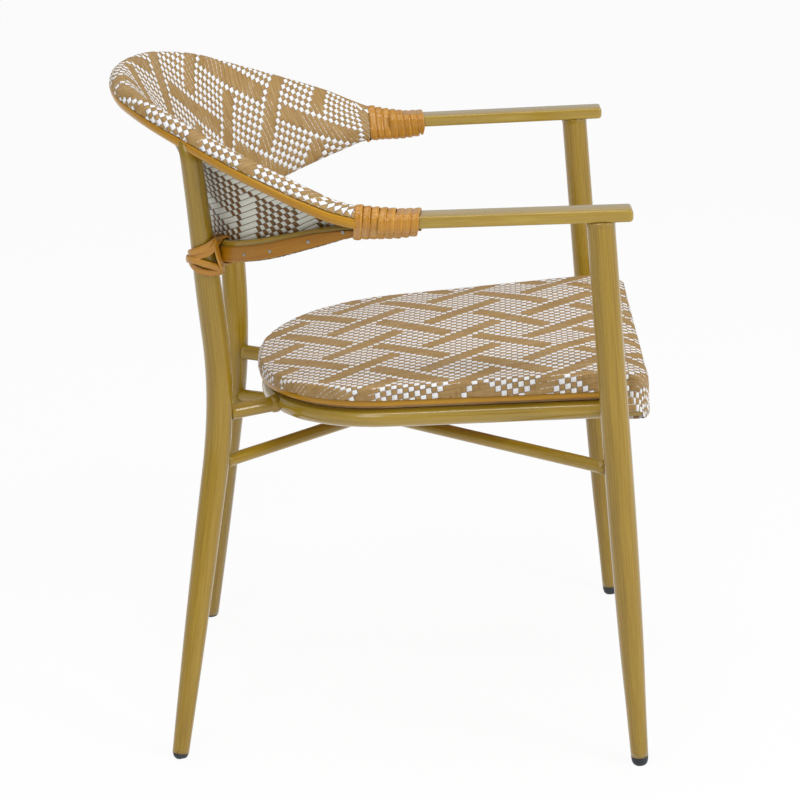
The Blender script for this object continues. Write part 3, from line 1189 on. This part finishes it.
def pad_surface(plan):
    """Lays plan positions over the pad: flat ones on top, and those past the shoulder down its side.

    At the front the weave goes on down over the rail and is folded under at the hem.
    """
    plan = np.column_stack([plan, np.zeros(len(plan))])
    tree = tree_of(outline)
    near = np.array([tree.find(point)[1] for point in plan])
    edge, out = outline[near], outline_normals[near]
    folded = edge[:, 1] <= STRIP_REACH
    past = np.einsum("ij,ij->i", plan - edge, out) + SHOULDER
    lengths = np.einsum("ij,ij->i", edge - [0, CENTRE_REACH, 0], out)
    height = pad_height(edge[:, 0], edge[:, 1])
    turn = np.clip(past / SHOULDER, 0, math.pi / 2)
    stretch = lerp(SIDE_STRETCH, RIGHT_SIDE_STRETCH, np.clip(-out[:, 0], 0, 1) ** 4)
    down = np.maximum(past - SHOULDER * math.pi / 2, 0) * stretch
    inset = np.where(past > 0, SHOULDER * (1 - np.sin(turn)), SHOULDER - past)
    top = pad_height(plan[:, 0], plan[:, 1])
    level = np.where(past > 0, height - SHOULDER * (1 - np.cos(turn)) - down, top)
    low = np.where(folded, -PAD_BASE - WRAP_DROP - HEM_REACH, PAD_START)
    inside = level > low
    level = np.maximum(level, low)
    hem = np.where(folded, np.maximum(HEM_ROUNDING - PAD_BASE - WRAP_DROP - level, 0), 0)
    hem_turn = np.clip(hem / HEM_ROUNDING, 0, math.pi / 2)
    level += hem - HEM_ROUNDING * np.sin(hem_turn)
    inset += HEM_ROUNDING * (1 - np.cos(hem_turn)) + np.maximum(hem - HEM_ROUNDING * math.pi / 2, 0)
    crown = PAD_CROWN * smooth_table(CROWN_INSETS, CROWN_SHARES, np.clip(inset / lengths, 0, 1)) * (hem == 0)
    tuck = PAD_TUCK * np.clip(1 - level / (TUCK_SHARE * height), 0, 1) ** 2 * ~folded
    points = np.where((past > 0)[:, None], edge - out * inset[:, None], plan) - out * tuck[:, None]
    swell = np.clip(1 - level / height, 0, 1) ** SWELL_POWER * (past > 0)
    points += (foot_line[near] - edge) * swell[:, None]
    points[:, 2] = PAD_BASE + level + crown
    return points, inside


def inflated_cushion():
    """The pad's filling: a copy of the CAD pad, puffed up by a short cloth simulation.

    Gives back its points and how far along which normals they moved, in millimetres.
    """
    scene = bpy.context.scene
    cushion = copied_node("seat_pad_filling", "seat_pad")
    remesh = cushion.modifiers.new("even_faces", "REMESH")
    remesh.mode, remesh.voxel_size = "VOXEL", FILLING_VOXEL
    bpy.context.view_layer.objects.active = cushion
    bpy.ops.object.modifier_apply(modifier="even_faces")
    mesh = cushion.data
    normals = read_vectors(mesh.vertex_normals, "vector")
    before = read_vectors(mesh.vertices, "co") - normals * FILLING_SHRINK
    moved = before.copy()
    base = (SEAT_PLANE + PAD_BASE) * MM
    mesh.vertices.foreach_set("co", before.ravel())
    over_ring = before[:, 2] - base + before[:, 1] * math.sin(SEAT_TILT)
    held = cushion.vertex_groups.new(name="held")
    held.add(np.nonzero(over_ring < HELD_HEIGHT)[0].tolist(), 1.0, "REPLACE")
    cloth = cushion.modifiers.new("cloth", "CLOTH")
    cloth.settings.vertex_group_mass = "held"
    cloth.settings.use_pressure = True
    cloth.settings.uniform_pressure_force = CLOTH_PRESSURE
    cloth.settings.effector_weights.gravity = 0.0
    cloth.settings.quality = 5
    cloth.point_cache.frame_start, cloth.point_cache.frame_end = 1, CLOTH_FRAMES
    for number in range(1, CLOTH_FRAMES + 1):
        scene.frame_set(number)
    result = cushion.evaluated_get(bpy.context.evaluated_depsgraph_get()).data
    step = read_vectors(result.vertices, "co") - before
    length = np.linalg.norm(step, axis=1, keepdims=True)
    moved = before + step * np.minimum(1, PUFF_LIMIT / np.maximum(length, 1e-9))
    cushion.modifiers.remove(cloth)
    scene.frame_set(1)
    inside = moved - normals * SKIN_DEPTH
    inside[:, 2] -= FILLING_DROP * np.clip((moved[:, 2] - base) / DROP_HEIGHT, 0, 1)
    mesh.vertices.foreach_set("co", inside.ravel())
    mesh.update()
    mesh.shade_smooth()
    finer = cushion.modifiers.new("finer", "SUBSURF")
    finer.levels = finer.render_levels = 1
    join_chair(cushion, "seat_pad")
    return before / MM - [0, SHIFT_Y, 0], ((moved - before) * normals).sum(1) / MM, normals


cushion_points, cushion_push, cushion_normals = inflated_cushion()


def puffed(points):
    """Lets points of the weave follow the cushion where the simulation pushed it out."""
    tree = tree_of(cushion_points)
    for n, point in enumerate(points):
        found = tree.find_n(point, NEIGHBOURS)
        if found[0][2] < NEIGHBOUR_REACH:
            weights = np.array([1 / (distance + NEIGHBOUR_SOFTNESS) ** 2 for _, _, distance in found])
            ids = [i for _, i, _ in found]
            push = (weights[:, None] * cushion_push[ids][:, None] * cushion_normals[ids]).sum(0)
            points[n] += push / weights.sum()
    return points


def seat_place(across, down):
    plan = SEAT_PHASE + across[..., None] * SEAT_STEP_ACROSS + down[..., None] * SEAT_STEP_DOWN
    # The rows lie closer together towards the sitter's right
    plan[..., 0] += np.minimum(plan[..., 0] - RIGHT_REACH, 0) * (RIGHT_TIGHTNESS - 1)
    points, inside = pad_surface(plan.reshape(-1, 2))
    points = puffed(tilted(points))
    return points.reshape(*across.shape, 3), inside.reshape(across.shape)


weave_surface("seat_weave", seat_place, *SEAT_CELLS, (woven_front, "woven_seat"), "seat_pad", -SEAT_RELIEF)

# The front wrap's lining: its CAD form, drawn in a little so that the weave covers it
LINING_WIDTH, LINING_DEPTH = 0.97, 0.86

lining = copied_node("seat_front_wrap_lining", "seat_front_wrap")
lining_points = read_vectors(lining.data.vertices, "co")
rear = lining_points[:, 1].max()
lining_points[:, 0] *= LINING_WIDTH
lining_points[:, 1] = lerp(rear, lining_points[:, 1], LINING_DEPTH)
lining.data.vertices.foreach_set("co", lining_points.ravel())
lining.data.update()
join_chair(lining, "seat_front_wrap")

# ------ stage, camera and light

CAMERA_AT = (-2807.82, -67.556, 1305.747)
CAMERA_YAW, CAMERA_PITCH, CAMERA_ROLL = -0.0244, 0.3228, -0.03381
FOCAL_PIXELS, IMAGE_PIXELS, SENSOR_WIDTH = 2450.0, 800.0, 36.0
FLOOR_REACH, FLOOR_GLOW = 12.0, 0.92
PURE_WHITE = (1, 1, 1, 1)


def add_camera():
    camera = bpy.data.cameras.new("camera")
    camera.sensor_width = SENSOR_WIDTH
    camera.lens = FOCAL_PIXELS / IMAGE_PIXELS * SENSOR_WIDTH
    camera.clip_start, camera.clip_end = 0.1, 100.0
    obj = new_object("camera", camera)
    turn = [(-math.pi / 2 - CAMERA_YAW, "Z"), (math.pi / 2 - CAMERA_PITCH, "X"), (CAMERA_ROLL, "Z")]
    obj.matrix_world = Matrix.Translation((np.array(CAMERA_AT) + [0, SHIFT_Y, 0]) * MM)
    for angle, axis in turn:
        obj.matrix_world @= Matrix.Rotation(angle, 4, axis)
    bpy.context.scene.camera = obj


def add_world():
    world = bpy.data.worlds.new("studio")
    bpy.context.scene.world = world
    world.use_nodes = True
    tree = world.node_tree
    tree.nodes.clear()
    lighting = wire(tree, "ShaderNodeBackground", {"Color": PURE_WHITE, "Strength": 0.5})
    backdrop = wire(tree, "ShaderNodeBackground", {"Color": PURE_WHITE, "Strength": 1.0})
    seen = wire(tree, "ShaderNodeLightPath", None, "Is Camera Ray")
    new_node(tree, "ShaderNodeOutputWorld", {
        0: wire(tree, "ShaderNodeMixShader", {0: seen, 1: lighting, 2: backdrop})})


def add_floor():
    """White paper that glows for rays from the camera, mirrors and glass, which see a plain backdrop."""
    mesh = bpy.data.meshes.new("floor")
    corners = [(-1, -1), (1, -1), (1, 1), (-1, 1)]
    mesh.from_pydata([(x * FLOOR_REACH, y * FLOOR_REACH, 0) for x, y in corners], [], [(0, 1, 2, 3)])
    material = new_material("floor_paper")
    tree = material.node_tree
    tone = object_place(material).noise(6.0, 2.0)
    finished(material, {"Base Color": tone.ramp((0.0, (0.93, 0.93, 0.93, 1)), (1.0, (0.95, 0.95, 0.95, 1))),
                        "Roughness": 0.9})
    path = new_node(tree, "ShaderNodeLightPath")
    camera, mirror, glass = (Wire(tree, path.outputs[f"Is {kind} Ray"])
                             for kind in ("Camera", "Glossy", "Transmission"))
    seen = camera.maths("MAXIMUM", mirror).maths("MAXIMUM", glass)
    shader = Wire(tree, tree.nodes["Principled BSDF"].outputs[0])
    glow = wire(tree, "ShaderNodeEmission", {"Color": PURE_WHITE, "Strength": 1.0})
    feed(tree.nodes["Material Output"].inputs[0],
         wire(tree, "ShaderNodeMixShader", {0: seen * FLOOR_GLOW, 1: shader, 2: glow}))
    mesh.materials.append(material)
    new_object("floor", mesh)


def add_lamp(name, at, size, power, thin=None):
    """A round lamp, or a rectangular one if thin tells its second size, aimed at the chair's middle."""
    lamp = bpy.data.lights.new(name, "AREA")
    lamp.shape, lamp.size = ("RECTANGLE" if thin else "DISK"), size
    if thin:
        lamp.size_y = thin
    lamp.energy = power
    obj = new_object(name, lamp)
    obj.location = at
    obj.rotation_euler = (Vector((0, 0, 0.4)) - Vector(at)).to_track_quat("-Z", "Y").to_euler()


add_camera()
add_world()
add_floor()
add_lamp("key", (-1.7, -2.3, 1.9), 1.2, 39)
add_lamp("fill", (-2.6, 1.2, 2.2), 1.2, 12)
add_lamp("top", (0.3, 0.4, 3.2), 2.0, 16)
add_lamp("long", (-1.5, 0.0, 2.9), 2.4, 18, 0.4)

bpy.context.scene.view_settings.view_transform = "Standard"
